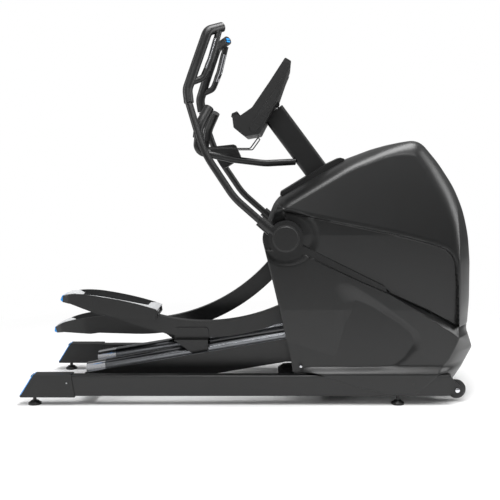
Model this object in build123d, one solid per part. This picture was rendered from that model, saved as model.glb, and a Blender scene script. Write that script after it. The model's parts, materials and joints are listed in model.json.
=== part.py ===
from build123d import *
import math
import os

# Front-drive elliptical trainer, in millimetres.
# +X points to the front housing, +Y to the user's left, +Z up. The origin is on the floor, under the
# middle of the machine. Each side is modelled on the right (-Y) and mirrored to the left.

# ---- driving dimensions ----
RIGHT, LEFT = -1, 1
CENTRE_GAP = 0.5                # face gap at pivots that the joint tree leaves open
RUN = 0.05                      # radial clearance of a running fit

# floor frame
RAIL_Y, RAIL_W, RAIL_H, RAIL_Z, RAIL_WALL = 325.0, 50.0, 100.0, 43.0, 3.0
RAIL_REAR, RAIL_FRONT = -1035.0, 935.0
CROSS_W, CROSS_H = 60.0, 60.0
CROSS_X = (-770.0, 300.0, 800.0)
FOOT_R, FOOT_X = 30.0, (-1027.0, 690.0)
WHEEL_X, WHEEL_Z, WHEEL_Y, WHEEL_R, WHEEL_W = 977.0, 58.0, 272.0, 44.0, 34.0

# ramp and tracks
RAMP_REAR, RAMP_FRONT = -818.0, 236.0
RAMP_ANGLE = 9.67
RAMP_LIP_Z = 121.0              # lip line height at the ramp's rear end
TRACK_Y, TRACK_HALF, DOME_HALF = 122.0, 85.0, 52.0
FLOOR_DROP, CROWN = 12.0, 30.0  # channel floor below, and dome crown above, the lip line
PANEL_H, PANEL_T = 116.0, 3.0

# pedal arm, in its front-down position
ARM_Y, ARM_H, ARM_W, TUBE_WALL = 122.0, 80.0, 40.0, 3.0
ARC_X, ARC_Z, ARC_R = -235.0, 1250.0, 930.0
TAIL_SLOPE, TAIL_END = 18.7, -830.0
PIVOT_X, PIVOT_Z = -302.0, 303.0
EYE_X, EYE_Z, EYE_R = 699.0, 759.0, 36.0
ROLLER_R, ROLLER_HALF, AXLE_R, PIN_R = 17.0, 19.0, 6.0, 9.0
LEFT_ROCK, LEFT_SLIDE = 17.0, -85.0   # where the left arm rests, against the right one

# crank and drive
CRANK_X, CRANK_Z, CRANK_R = 582.0, 895.0, 179.0
SHAFT_R, PULLEY_R, PULLEY_W = 15.0, 150.0, 22.0
FLY_X, FLY_Z, FLY_R, FLY_PULLEY_R = 850.0, 560.0, 120.0, 28.0
PLATE_IN, PLATE_OUT = 55.0, 61.0

# swinging handlebars
HUB_X, HUB_Z, HUB_R, HUB_OUT = 160.0, 790.0, 80.0, 405.0
TUBE_R, GRIP_R, LOOP_R = 17.0, 23.0, 15.0
LEVER_X, LEVER_Z = 165.0, 900.0

# mast, fixed bars, console
MAST_HALF, MAST_DEPTH = 55.0, 114.0
MAST_TOP, MAST_FOOT = (98.0, 1383.0), (403.0, 978.0)
BAR_R = 16.0
CONSOLE_HALF = 210.0

# housing
SHELL_HALF, SHELL_T, TOP_HALF = 330.0, 4.0, 150.0
SHOULDERS = ((150.0, 250.0, 12.0), (250.0, 332.0, 40.0))   # from y, to y, lean in degrees

parts = {}


# ---- helpers ----
def xz_plane(y):
    """A sketch plane whose local x is +X and local y is +Z, facing -Y, at the given y."""
    return Plane(origin=(0, y, 0), x_dir=(1, 0, 0), z_dir=(0, -1, 0))


def slab(outline, y_from, y_to):
    """Extrude an X-Z sketch between two y values."""
    low, high = sorted((y_from, y_to))
    return extrude(xz_plane(high) * outline, high - low)


def polygon(points):
    """A closed X-Z face with sharp corners."""
    return make_face(Polyline(*points, close=True))


def rounded(points, radii):
    """A closed X-Z face with one radius for each corner."""
    return make_face(FilletPolyline(*points, radius=radii, close=True))


def disc(x, z, radius, y_from, y_to):
    """A round bar along Y."""
    low, high = sorted((y_from, y_to))
    return Pos(x, (low + high) / 2, z) * Rot(90, 0, 0) * Cylinder(radius, high - low)


def block(x0, x1, y0, y1, z0, z1):
    """A box between two corners."""
    return Pos((x0 + x1) / 2, (y0 + y1) / 2, (z0 + z1) / 2) * Box(x1 - x0, y1 - y0, z1 - z0)


def tube(points, radii, radius, bore=0.0):
    """A round tube along straight runs joined by tangent arcs."""
    corners = [Vector(*p) for p in points]
    path = FilletPolyline(*corners, radius=radii) if radii else Line(*corners)
    start = Plane(origin=path @ 0, z_dir=path % 0)
    section = Circle(radius) - Circle(bore) if bore else Circle(radius)
    return sweep(start * section, path=path)


def mirrored(shape):
    """The same piece on the other side of the machine."""
    return shape.mirror(Plane.XZ)


def both(name, right):
    """Store a right-hand piece and its mirror image as two nodes."""
    parts[name + "_right"] = right
    parts[name + "_left"] = mirrored(right)


def pair(right):
    """A right-hand piece and its mirror image in one node."""
    return Compound(children=[*solids_of(right), *solids_of(mirrored(right))])


def solids_of(shape):
    return list(shape.solids())


SLOPE = math.radians(RAMP_ANGLE)
RAMP_TILT = Pos(RAMP_REAR, 0, RAMP_LIP_Z) * Rot(0, -RAMP_ANGLE, 0)
RAMP_LENGTH = (RAMP_FRONT - RAMP_REAR) / math.cos(SLOPE)


def move_left_arm(shape):
    """Mirror a right pedal-arm piece and put it at the left arm's rest position."""
    shift = Pos(LEFT_SLIDE * math.cos(SLOPE), 0, LEFT_SLIDE * math.sin(SLOPE))
    turn = Pos(PIVOT_X, 0, PIVOT_Z) * Rot(0, -LEFT_ROCK, 0) * Pos(-PIVOT_X, 0, -PIVOT_Z)
    return shift * turn * mirrored(shape)


def move_left_carriage(shape):
    """Mirror a right carriage piece and slide it to the left carriage's rest position."""
    return Pos(LEFT_SLIDE * math.cos(SLOPE), 0, LEFT_SLIDE * math.sin(SLOPE)) * mirrored(shape)


# ---- floor frame ----
def base_rail():
    rail = block(RAIL_REAR, RAIL_FRONT, -RAIL_Y - RAIL_W / 2, -RAIL_Y + RAIL_W / 2, RAIL_Z, RAIL_Z + RAIL_H)
    rail = fillet(rail.edges().filter_by(Axis.X), 8)
    inside = block(RAIL_REAR, RAIL_FRONT, -RAIL_Y - RAIL_W / 2 + RAIL_WALL, -RAIL_Y + RAIL_W / 2 - RAIL_WALL,
                   RAIL_Z + RAIL_WALL, RAIL_Z + RAIL_H - RAIL_WALL)
    return rail - inside


def base_crossmembers():
    inner = RAIL_Y - RAIL_W / 2
    tubes = []
    for x in CROSS_X:
        outer = block(x - CROSS_W / 2, x + CROSS_W / 2, -inner, inner, RAIL_Z, RAIL_Z + CROSS_H)
        hollow = block(x - CROSS_W / 2 + 3, x + CROSS_W / 2 - 3, -inner, inner, RAIL_Z + 3, RAIL_Z + CROSS_H - 3)
        tubes.append((outer - hollow).solid())
    return Compound(children=tubes)


def rail_end_cap():
    proud = 4.0
    outline = rounded([(-1094, RAIL_Z - proud), (-830, RAIL_Z - proud), (-846, RAIL_Z + RAIL_H + proud),
                       (-1025, RAIL_Z + RAIL_H + proud)], [6, 2, 2, 10])
    half = RAIL_W / 2 + proud
    cap = slab(outline, -RAIL_Y - half, -RAIL_Y + half)
    socket = block(RAIL_REAR - 1, -800, -RAIL_Y - RAIL_W / 2 - RUN, -RAIL_Y + RAIL_W / 2 + RUN,
                   RAIL_Z - RUN, RAIL_Z + RAIL_H + RUN)
    stud_hole = Pos(FOOT_X[0], -RAIL_Y, RAIL_Z) * Cylinder(9, 30)
    screw_hole = disc(-867, 108, 4, -RAIL_Y - 40, -RAIL_Y)
    return cap - socket - stud_hole - screw_hole


def levelling_feet():
    feet = []
    for x in FOOT_X:
        pad = Pos(x, -RAIL_Y, 4) * Cylinder(FOOT_R, 8)
        dome = Pos(x, -RAIL_Y, 13) * Cone(FOOT_R - 2, 17, 10)
        stud = Pos(x, -RAIL_Y, 30) * Cylinder(8, RAIL_Z - 17)
        feet.append((pad + dome + stud).solid())
    return pair(Compound(children=feet))


def wheel_fork():
    half = WHEEL_W / 2 + 3
    outline = rounded([(WHEEL_X - 110, 60), (WHEEL_X - 10, 40), (WHEEL_X + 18, 44), (WHEEL_X + 18, 74),
                       (WHEEL_X - 30, 118), (WHEEL_X - 110, 118)], [4, 10, 8, 8, 20, 4])
    cheeks = slab(outline, -WHEEL_Y - half - 5, -WHEEL_Y - half) + slab(outline, -WHEEL_Y + half, -WHEEL_Y + half + 5)
    web = block(WHEEL_X - 110, WHEEL_X - 62, -RAIL_Y + RAIL_W / 2, -WHEEL_Y + half, 70, 110)
    axle = disc(WHEEL_X, WHEEL_Z, 6, -WHEEL_Y - half - 9, -WHEEL_Y + half + 9)
    return cheeks + web + axle


def transport_wheel():
    profile = make_face(FilletPolyline((6 + RUN, -WHEEL_W / 2), (30, -WHEEL_W / 2), (WHEEL_R, -WHEEL_W / 2 + 5),
                                       (WHEEL_R, WHEEL_W / 2 - 5), (30, WHEEL_W / 2), (6 + RUN, WHEEL_W / 2),
                                       radius=[0.5, 3, 5, 5, 3, 0.5], close=True))
    wheel = revolve(profile, Axis.Y)
    return Pos(WHEEL_X, -WHEEL_Y, WHEEL_Z) * wheel


# ---- ramp ----
def dome(y, half, crown):
    """The two curved flanks of a dome, from its left foot over the crown to its right foot."""
    floor, shoulder = -FLOOR_DROP, crown - 0.1 * (FLOOR_DROP + crown)
    left = Bezier((y - half, floor), (y - half + 3, shoulder), (y - 0.48 * half, crown), (y, crown))
    right = Bezier((y, crown), (y + 0.48 * half, crown), (y + half - 3, shoulder), (y + half, floor))
    return left, right


def track_profile(y):
    """Section of one track in the ramp's own Y-Z plane: a hollow domed rail in a shallow channel."""
    floor = -FLOOR_DROP
    left, right = y - TRACK_HALF, y + TRACK_HALF
    outline = Polyline((y - DOME_HALF, floor), (left + 4, floor), (left + 4, 0), (left, 0), (left, floor - 6),
                       (right, floor - 6), (right, 0), (right - 4, 0), (right - 4, floor), (y + DOME_HALF, floor))
    inside = make_face([*dome(y, DOME_HALF - 5, CROWN - 5), Line((y - DOME_HALF + 5, floor), (y + DOME_HALF - 5, floor))])
    return make_face([*outline.edges(), *dome(y, DOME_HALF, CROWN)]) - inside


def ramp_section(section, start, length):
    """Extrude a Y-Z section along the ramp, from a distance up the slope."""
    plane = Plane(origin=(start, 0, 0), x_dir=(0, 1, 0), z_dir=(1, 0, 0))
    return RAMP_TILT * extrude(plane * section, length)


CAP_LENGTH = 95.0


def track():
    return ramp_section(track_profile(-TRACK_Y), CAP_LENGTH, RAMP_LENGTH - CAP_LENGTH)


def track_end_caps():
    cap = ramp_section(track_profile(-TRACK_Y), 0, CAP_LENGTH - 0.5)
    rear_cut = RAMP_TILT * Pos(-60, -TRACK_Y, 30) * Rot(0, 38, 0) * Box(80, 2 * TRACK_HALF + 10, 200)
    return pair(cap - rear_cut)


def ramp_frame():
    deck_top = -FLOOR_DROP - 6
    deck = Pos(0, -205, deck_top - 4) * Box(RAMP_LENGTH - 60, 410, 4, align=(Align.MIN, Align.MIN, Align.MIN))
    deck = Pos(40, 0, 0) * deck
    for y in (-TRACK_Y, TRACK_Y):
        deck += Pos(60, y - 20, deck_top - 44) * Box(RAMP_LENGTH - 70, 40, 40, align=(Align.MIN,) * 3)
        deck -= Pos(50, y - 17, deck_top - 41) * Box(RAMP_LENGTH, 34, 34, align=(Align.MIN,) * 3)
    frame = RAMP_TILT * deck
    foot = rounded([(196, 103), (300, 103), (238, 243), (196, 243)], [4, 4, 6, 4])
    for side in (RIGHT, LEFT):
        frame += slab(foot, side * 92, side * 152)
    heel = rounded([(118, 103), (200, 103), (200, 140), (150, 138), (124, 122)], [3, 3, 3, 20, 12])
    for side in (RIGHT, LEFT):
        frame += slab(heel, side * 92, side * 206)
    rear = block(-795, -745, -160, 160, RAIL_Z + CROSS_H, 106)
    cut = block(-900, RAMP_FRONT + 60, -400, 400, -200, RAIL_Z + CROSS_H)
    return frame + rear - cut


def ramp_side_panels():
    outline = rounded([(RAMP_REAR + 6, RAMP_LIP_Z - 1), (RAMP_FRONT - 4, RAMP_LIP_Z + 178), (RAMP_FRONT - 4, 186),
                       (-250, 104), (RAMP_REAR + 40, 104)], [2, 2, 2, 200, 8])
    edge = TRACK_Y + TRACK_HALF
    return pair(slab(outline, -edge - PANEL_T, -edge))


# ---- pedal arms and carriages ----
def pedal_arm():
    tail_angle = math.radians(-TAIL_SLOPE)
    start = Vector(ARC_X + ARC_R * math.sin(tail_angle), ARC_Z - ARC_R * math.cos(tail_angle))
    to_eye = math.hypot(EYE_X - ARC_X, ARC_Z - EYE_Z)
    front_angle = math.atan2(EYE_X - ARC_X, ARC_Z - EYE_Z) - math.acos(ARC_R / to_eye)
    end = Vector(ARC_X + ARC_R * math.sin(front_angle), ARC_Z - ARC_R * math.cos(front_angle))
    tail = Vector(TAIL_END, start.Y + (start.X - TAIL_END) * math.tan(math.radians(TAIL_SLOPE)))
    middle = Vector(ARC_X, ARC_Z - ARC_R)
    eye = Vector(EYE_X, EYE_Z)
    bend = ThreePointArc(start, middle, end)
    line = Wire([Line(tail, start), bend, Line(end, eye)])
    arm = slab(make_face(offset(line, ARM_H / 2, side=Side.BOTH).edges()), -ARM_Y - ARM_W / 2, -ARM_Y + ARM_W / 2)
    arm += disc(EYE_X, EYE_Z, EYE_R, -ARM_Y - ARM_W / 2, -ARM_Y + ARM_W / 2)
    open_end = tail + (tail - start).normalized() * 2 * ARM_H
    core = Wire([Line(open_end, start), bend, Line(end, end + (eye - end) * 0.75)])
    hollow = make_face(offset(core, ARM_H / 2 - TUBE_WALL, side=Side.BOTH).edges())
    arm -= slab(hollow, -ARM_Y - ARM_W / 2 + TUBE_WALL, -ARM_Y + ARM_W / 2 - TUBE_WALL)
    tray_floor = polygon([(-900, 560), (-900, 473), (-452, 391), (-452, 560)])
    arm -= slab(tray_floor, -ARM_Y - 60, -ARM_Y + 60)
    arm -= disc(PIVOT_X, PIVOT_Z, PIN_R + RUN, -ARM_Y - 60, -ARM_Y + 60)
    arm -= disc(EYE_X, EYE_Z, 14, -ARM_Y - 60, -ARM_Y + 60)
    return arm


PEDAL_TOP = [(-927, 490), (-887, 500), (-813, 503), (-744, 495), (-652, 479), (-561, 458), (-462, 428)]
PEDAL_HALF = 94.0


def pedal_tray():
    side = make_face([*Spline(*PEDAL_TOP).edges(), *Polyline(PEDAL_TOP[-1], (-458, 398), (-474, 378), (-640, 390),
                                                            (-746, 409), (-884, 456), (-926, 460), (-937, 472),
                                                            PEDAL_TOP[0]).edges()])
    body = slab(side, -ARM_Y - PEDAL_HALF, -ARM_Y + PEDAL_HALF)
    plan = rounded([(-940, -ARM_Y - 36), (-892, -ARM_Y - 70), (-760, -ARM_Y - PEDAL_HALF), (-450, -ARM_Y - 86),
                    (-450, -ARM_Y + 86), (-760, -ARM_Y + PEDAL_HALF), (-892, -ARM_Y + 70), (-940, -ARM_Y + 36)],
                   [20, 40, 150, 40, 40, 150, 40, 20])
    body &= Pos(0, 0, 300) * extrude(plan, 300)
    floor_line = polygon([(-890, 600), (-890, 482.8), (-450, 403.4), (-450, 600)])
    inner = rounded([(-884, -ARM_Y - 55), (-760, -ARM_Y - PEDAL_HALF + 6), (-458, -ARM_Y - 79),
                     (-458, -ARM_Y + 79), (-760, -ARM_Y + PEDAL_HALF - 6), (-884, -ARM_Y + 55)],
                    [36, 196, 36, 36, 196, 36])
    well = slab(floor_line, -ARM_Y - PEDAL_HALF, -ARM_Y + PEDAL_HALF) & (Pos(0, 0, 300) * extrude(inner, 400))
    body -= well
    under_arm = polygon([(-900, 473), (-452, 391), (-452, 300), (-900, 300)])
    return body - slab(under_arm, -ARM_Y - ARM_W / 2 - 0.3, -ARM_Y + ARM_W / 2 + 0.3)


def pedal_mat():
    plan = rounded([(-878, -ARM_Y - 50), (-758, -ARM_Y - PEDAL_HALF + 10), (-466, -ARM_Y - 75),
                    (-466, -ARM_Y + 75), (-758, -ARM_Y + PEDAL_HALF - 10), (-878, -ARM_Y + 50)],
                   [34, 190, 34, 34, 190, 34])
    layer = polygon([(-900, 485.1), (-900, 491), (-450, 409.7), (-450, 403.8)])
    return slab(layer, -ARM_Y - PEDAL_HALF, -ARM_Y + PEDAL_HALF) & (Pos(0, 0, 300) * extrude(plan, 300))


def carriage():
    """Two cheeks outside the arm with skirts over the dome, joined by the arm's pin and the roller's axle."""
    inner, outer = ARM_W / 2 + 1, ARM_W / 2 + 6
    axle_z = roller_z()
    plate = rounded([(-384, 268), (-384, 330), (-220, 330), (-220, 268), (-262, 249), (-342, 244)],
                    [6, 16, 16, 6, 10, 10])
    skirt = rounded([(-384, 274), (-220, 274), (-220, 222), (-295, 207)], [3, 3, 3, 3])
    shelf = rounded([(-384, 268), (-384, 274), (-220, 274), (-220, 268)], [1, 1, 1, 1])
    right_half = (slab(plate, -ARM_Y - outer, -ARM_Y - inner) + slab(shelf, -ARM_Y - 57, -ARM_Y - inner)
                  + slab(skirt, -ARM_Y - 57, -ARM_Y - 54))
    left_half = (slab(plate, -ARM_Y + inner, -ARM_Y + outer) + slab(shelf, -ARM_Y + inner, -ARM_Y + 57)
                 + slab(skirt, -ARM_Y + 54, -ARM_Y + 57))
    pin = disc(PIVOT_X, PIVOT_Z, PIN_R, -ARM_Y - outer, -ARM_Y + outer)
    axle = disc(PIVOT_X, axle_z, AXLE_R, -ARM_Y - outer, -ARM_Y + outer)
    return right_half + left_half + pin + axle


def crown_z(x):
    """Height of the dome's crown above the floor at x."""
    along = (x - RAMP_REAR) * math.tan(SLOPE)
    return RAMP_LIP_Z + along + CROWN / math.cos(SLOPE)


def roller_z():
    return crown_z(PIVOT_X) + (ROLLER_R + 0.3) / math.cos(SLOPE)


def roller():
    flare = 0.8
    profile = make_face([Line((AXLE_R + RUN, -ROLLER_HALF), (ROLLER_R + flare, -ROLLER_HALF)),
                         ThreePointArc((ROLLER_R + flare, -ROLLER_HALF), (ROLLER_R, 0), (ROLLER_R + flare, ROLLER_HALF)),
                         Line((ROLLER_R + flare, ROLLER_HALF), (AXLE_R + RUN, ROLLER_HALF)),
                         Line((AXLE_R + RUN, ROLLER_HALF), (AXLE_R + RUN, -ROLLER_HALF))])
    return Pos(PIVOT_X, -ARM_Y, roller_z()) * revolve(profile, Axis.Y)


# ---- drive ----
def crankshaft():
    collars = disc(CRANK_X, CRANK_Z, 24, -72, -66) + disc(CRANK_X, CRANK_Z, 24, 66, 72)
    return disc(CRANK_X, CRANK_Z, SHAFT_R, -92, 92) + collars


def crank_angle(side):
    """Direction of one crank at rest; the two are opposite."""
    right = math.atan2(EYE_Z - CRANK_Z, EYE_X - CRANK_X)
    return right if side == RIGHT else right + math.pi


def crank_arm(side):
    angle = crank_angle(side)
    x, z = CRANK_X + CRANK_R * math.cos(angle), CRANK_Z + CRANK_R * math.sin(angle)
    web = Pos((x + CRANK_X) / 2, side * 84, (z + CRANK_Z) / 2) * Rot(0, -math.degrees(angle), 0) * Box(CRANK_R, 16, 44)
    arm = web + disc(CRANK_X, CRANK_Z, 34, side * 76, side * 92) + disc(x, z, 24, side * 76, side * 92)
    arm -= disc(CRANK_X, CRANK_Z, SHAFT_R, side * 70, side * 96)
    return arm + disc(x, z, 12, side * 92, side * (ARM_Y - ARM_W / 2 - 1))


def drive_pulley():
    half = PULLEY_W / 2
    rim = disc(CRANK_X, CRANK_Z, PULLEY_R, -half, half) - disc(CRANK_X, CRANK_Z, PULLEY_R - 14, -half, half)
    web = disc(CRANK_X, CRANK_Z, PULLEY_R - 14, -4, 4)
    hub = disc(CRANK_X, CRANK_Z, 36, -half, half)
    pulley = rim + web + hub - disc(CRANK_X, CRANK_Z, SHAFT_R, -half, half)
    for index in range(6):
        angle = math.radians(60 * index + 30)
        pulley -= disc(CRANK_X + 88 * math.cos(angle), CRANK_Z + 88 * math.sin(angle), 26, -half, half)
    return pulley


def flywheel():
    wheel = disc(FLY_X, FLY_Z, FLY_R, -48, -26) - disc(FLY_X, FLY_Z, FLY_R - 22, -48, -42)
    pulley = disc(FLY_X, FLY_Z, FLY_PULLEY_R, -26, 12)
    return wheel + pulley + disc(FLY_X, FLY_Z, 10, 12, 54) + disc(FLY_X, FLY_Z, 10, -54, -42)


def drive_belt():
    """A flat belt loop round the two pulleys, standing 0.4 mm clear of both."""
    gap, thick = 0.4, 3.0
    dx, dz = FLY_X - CRANK_X, FLY_Z - CRANK_Z
    distance = math.hypot(dx, dz)
    base = math.atan2(dz, dx)

    def loop(extra):
        big, small = PULLEY_R + extra, FLY_PULLEY_R + extra
        lean = math.acos((big - small) / distance)
        points = []
        for x, z, radius in ((CRANK_X, CRANK_Z, big), (FLY_X, FLY_Z, small)):
            points.append([Vector(x + radius * math.cos(base + s * lean), z + radius * math.sin(base + s * lean))
                           for s in (1, -1)])
        back = Vector(CRANK_X - big * math.cos(base), CRANK_Z - big * math.sin(base))
        front = Vector(FLY_X + small * math.cos(base), FLY_Z + small * math.sin(base))
        (big_top, big_low), (small_top, small_low) = points
        return make_face([ThreePointArc(big_top, back, big_low), Line(big_low, small_low),
                          ThreePointArc(small_low, front, small_top), Line(small_top, big_top)])

    return slab(loop(gap + thick) - loop(gap), -9, 9)


def generator():
    body = disc(FLY_X, FLY_Z, 62, 18, 52) - disc(FLY_X, FLY_Z, 10 + RUN, 10, 60)
    bracket = block(FLY_X - 30, FLY_X + 30, 30, 50, FLY_Z - 150, FLY_Z - 50)
    base = block(FLY_X - 50, FLY_X + 50, 15, 54, FLY_Z - 160, FLY_Z - 140)
    return body + bracket + base


def drive_frame():
    """Two upright plates with the crank bearings, tied by spacers, and two posts for the handlebar pivots."""
    outline = rounded([(340, 103), (915, 103), (930, 600), (690, 930), (600, 985), (420, 1030), (352, 965),
                       (520, 720), (420, 400)], [6, 6, 60, 60, 60, 20, 20, 80, 60])
    window = rounded([(560, 180), (760, 180), (760, 380), (560, 560)], [30, 30, 30, 30])
    frame = None
    for side in (RIGHT, LEFT):
        plate = slab(outline - window, side * PLATE_IN, side * PLATE_OUT)
        plate -= disc(CRANK_X, CRANK_Z, 36, side * 50, side * 70)
        plate -= disc(FLY_X, FLY_Z, 16, side * 50, side * 70)
        frame = plate if frame is None else frame + plate
    for x, z in ((460, 440), (640, 640), (880, 300)):
        frame += disc(x, z, 14, -PLATE_IN - 2, PLATE_IN + 2)
    return frame


def handle_posts():
    outline = rounded([(276, 103), (326, 103), (192, 790), (128, 790)], [2, 2, 4, 4])
    post = slab(outline, -264, -274) + disc(HUB_X, HUB_Z, 34, -250, -290)
    return pair(post - disc(HUB_X, HUB_Z, 21, -240, -300))


def shaft_bearings():
    crank = disc(CRANK_X, CRANK_Z, 36, -50, -66) - disc(CRANK_X, CRANK_Z, SHAFT_R + RUN, -40, -70)
    pivot = disc(HUB_X, HUB_Z, 21, -250, -290) - disc(HUB_X, HUB_Z, SHAFT_R + RUN, -240, -300)
    return pair(Compound(children=[crank.solid(), pivot.solid()]))


# ---- swinging handlebars ----
def rocker_shaft():
    """The handlebar's short shaft, with a lever on its inner end."""
    shaft = disc(HUB_X, HUB_Z, SHAFT_R, -232, -334)
    link = make_face(Wire.make_convex_hull([Edge.make_circle(26, Plane(origin=(HUB_X, HUB_Z, 0))),
                                            Edge.make_circle(16, Plane(origin=(LEVER_X, LEVER_Z, 0)))]).edges())
    return shaft + slab(link, -232, -242) - disc(LEVER_X, LEVER_Z, 6, -220, -260)


def swing_tube():
    path = [(63, -368, 853), (-75, -368, 975), (-215, -345, 1185), (-284, -294, 1405)]
    bent = tube(path, [300, 500], TUBE_R)
    socket = tube([(118, -368, 804), (41, -368, 872)], [], 27)
    drum = disc(HUB_X, HUB_Z, HUB_R, -334, -393)
    drum -= disc(HUB_X, HUB_Z, HUB_R - 7, -330, -380) - disc(HUB_X, HUB_Z, 26, -330, -380)
    hub = drum + socket - disc(HUB_X, HUB_Z, 26, -300, -334) - disc(HUB_X, HUB_Z, 57 + RUN, -391, -410)
    return hub + bent


GRIP_FOOT, GRIP_STOP = (-284.2, -293.5, 1407.5), (-286, -291, 1422)
TIP = (-138.0, -196.0, 1763.0)


def swing_grip():
    """Moulded sleeve: the main grip, its forward and inward top bend, and the loop in front of it."""
    main = tube([GRIP_FOOT, (-292, -284, 1468), (-254, -268, 1580), (-198, -260, 1735), TIP], [70, 200, 40], GRIP_R)
    loop = tube([(-276, -278, 1500), (-222, -262, 1522), (-186, -250, 1604), (-150, -228, 1738)],
                [38, 200], LOOP_R)
    return main + loop - tube([GRIP_FOOT, GRIP_STOP], [], TUBE_R)


def button(offset_z):
    """One of the two resistance keys in the inward-facing tip of the grip."""
    direction = Vector(60, 64, 28).normalized()
    plane = Plane(origin=TIP, x_dir=(0.8, -0.6, 0), z_dir=direction)
    pad = Pos(0, offset_z, 1.5) * Box(22, 8, 3)
    pad = fillet(pad.edges().filter_by(Axis.Z), 3)
    return plane * Pos(0, 0, CENTRE_GAP + 1.5) * pad


def hub_cap():
    cap = disc(HUB_X, HUB_Z, 57, -391, -HUB_OUT)
    return fillet(cap.edges().filter_by(GeomType.CIRCLE).sort_by(Axis.Y)[0], 5)


# ---- mast, fixed bars, console ----
def along_mast(distance, across):
    """A point on the mast's axis, measured from its foot, and across it towards the front."""
    run, rise = MAST_TOP[0] - MAST_FOOT[0], MAST_TOP[1] - MAST_FOOT[1]
    length = math.hypot(run, rise)
    ux, uz = run / length, rise / length
    return (MAST_FOOT[0] + ux * distance + uz * across, MAST_FOOT[1] + uz * distance - ux * across)


MAST_LENGTH = math.hypot(MAST_TOP[0] - MAST_FOOT[0], MAST_TOP[1] - MAST_FOOT[1])


def round_long_edges(body, radius):
    long_edges = body.edges().filter_by(lambda edge: edge.length > MAST_LENGTH - 1)
    return fillet(long_edges, radius)


def mast():
    half = MAST_DEPTH / 2
    outer = polygon([along_mast(0, -half), along_mast(0, half), along_mast(MAST_LENGTH, half),
                     along_mast(MAST_LENGTH, -half)])
    inner = polygon([along_mast(-5, 3 - half), along_mast(-5, half - 3), along_mast(MAST_LENGTH + 5, half - 3),
                     along_mast(MAST_LENGTH + 5, 3 - half)])
    body = round_long_edges(slab(outer, -MAST_HALF, MAST_HALF), 16)
    return body - round_long_edges(slab(inner, -MAST_HALF + 3, MAST_HALF - 3), 13)


def mast_boot():
    outline = rounded([(131, 973), (262, 1037), (366, 1096), (441, 1140), (446, 1154), (425, 1160), (352, 1125),
                       (250, 1062), (136, 992)], [4, 60, 200, 4, 4, 4, 200, 60, 4])
    under = offset(rounded(SILHOUETTE, SILHOUETTE_RADII), 0.3)
    boot = slab(outline - under, -118, 118)
    half = MAST_DEPTH / 2 + RUN
    hole = polygon([along_mast(-40, -half), along_mast(-40, half), along_mast(400, half), along_mast(400, -half)])
    return boot - slab(hole, -MAST_HALF - RUN, MAST_HALF + RUN)


BAR_PATH = [(205, -50, 1140), (60, -112, 1132), (-90, -160, 1150), (-262, -222, 1186), (-254, -222, 1250)]
GRIP_PATH = [BAR_PATH[-1], (-247, -222, 1306), (-202, -180, 1394)]


STUB_X, STUB_Z, STUB_R = -118.0, 1157.0, 12.0


def fixed_bars():
    right = tube(BAR_PATH, [250, 400, 42], BAR_R)
    stub = disc(STUB_X, STUB_Z, STUB_R, -170, -54.2)
    bars = right + mirrored(right) + stub + mirrored(stub)
    half = MAST_DEPTH / 2
    hole = polygon([along_mast(-40, -half), along_mast(-40, half), along_mast(400, half), along_mast(400, -half)])
    return bars - slab(hole, -MAST_HALF, MAST_HALF)


def fixed_grips():
    return pair(tube(GRIP_PATH, [120], GRIP_R))


def bottle_holder():
    """An open cup that leans back, held between two stubs of the fixed bars."""
    outer = rounded([(-221, 1212), (-147, 1104), (-60, 1159), (-90, 1226)], [4, 16, 16, 12])
    inner = rounded([(-222, 1224), (-146, 1111), (-67, 1161), (-98, 1240)], [4, 11, 11, 4])
    return slab(outer, -54, 54) - slab(inner, -50, 50)


def wire_rack():
    return tube([(-213, -150, 1203), (-10, -150, 1203), (28, -150, 1255), (28, 150, 1255), (-10, 150, 1203),
                 (-213, 150, 1203)], [12, 12, 12, 12], 3.0)


CONSOLE_SIDE = [(157, 1623), (85, 1514), (1, 1393), (-59, 1352), (-68, 1364), (-92, 1350), (-86, 1299),
                (-34, 1258), (36, 1270), (58, 1312), (129, 1444), (181, 1592), (186, 1606)]
FACE_LOW, FACE_HIGH = (8.0, 1403.0), (150.0, 1613.0)


def face_plane():
    """The console's display face, tilted back, facing the user."""
    run, rise = FACE_HIGH[0] - FACE_LOW[0], FACE_HIGH[1] - FACE_LOW[1]
    length = math.hypot(run, rise)
    middle = Vector((FACE_LOW[0] + FACE_HIGH[0]) / 2, 0, (FACE_LOW[1] + FACE_HIGH[1]) / 2)
    return Plane(origin=middle, x_dir=(0, -1, 0), z_dir=(-rise / length, 0, run / length))


KEY_X, KEY_Y, KEY_R = 0.0, -112.0, 13.0


def console_housing():
    radii = [6, 60, 30, 2, 4, 4, 12, 8, 12, 60, 60, 6, 6]
    body = slab(rounded(CONSOLE_SIDE, radii), -CONSOLE_HALF, CONSOLE_HALF)
    screen_bed = face_plane() * Pos(0, 14, -6) * Box(372, 196, 24)
    key_well = face_plane() * Pos(KEY_X, KEY_Y, 0) * Cylinder(KEY_R + 0.4, 24)
    half = MAST_DEPTH / 2
    mast_slot = polygon([along_mast(0, -half), along_mast(0, half), along_mast(MAST_LENGTH, half),
                         along_mast(MAST_LENGTH, -half)])
    hollow = slab(offset(rounded(CONSOLE_SIDE, radii), -4), -CONSOLE_HALF + 4, CONSOLE_HALF - 4)
    body -= hollow - face_plane() * Box(600, 600, 2 * 24)
    body -= slab(mast_slot, -MAST_HALF, MAST_HALF)
    return body - screen_bed - key_well


def console_screen():
    glass = face_plane() * Pos(0, 14, -8.5) * Box(371, 195, 10)
    return glass


def stop_key():
    return face_plane() * Pos(KEY_X, KEY_Y, -2) * Cylinder(KEY_R, 12)


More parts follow.
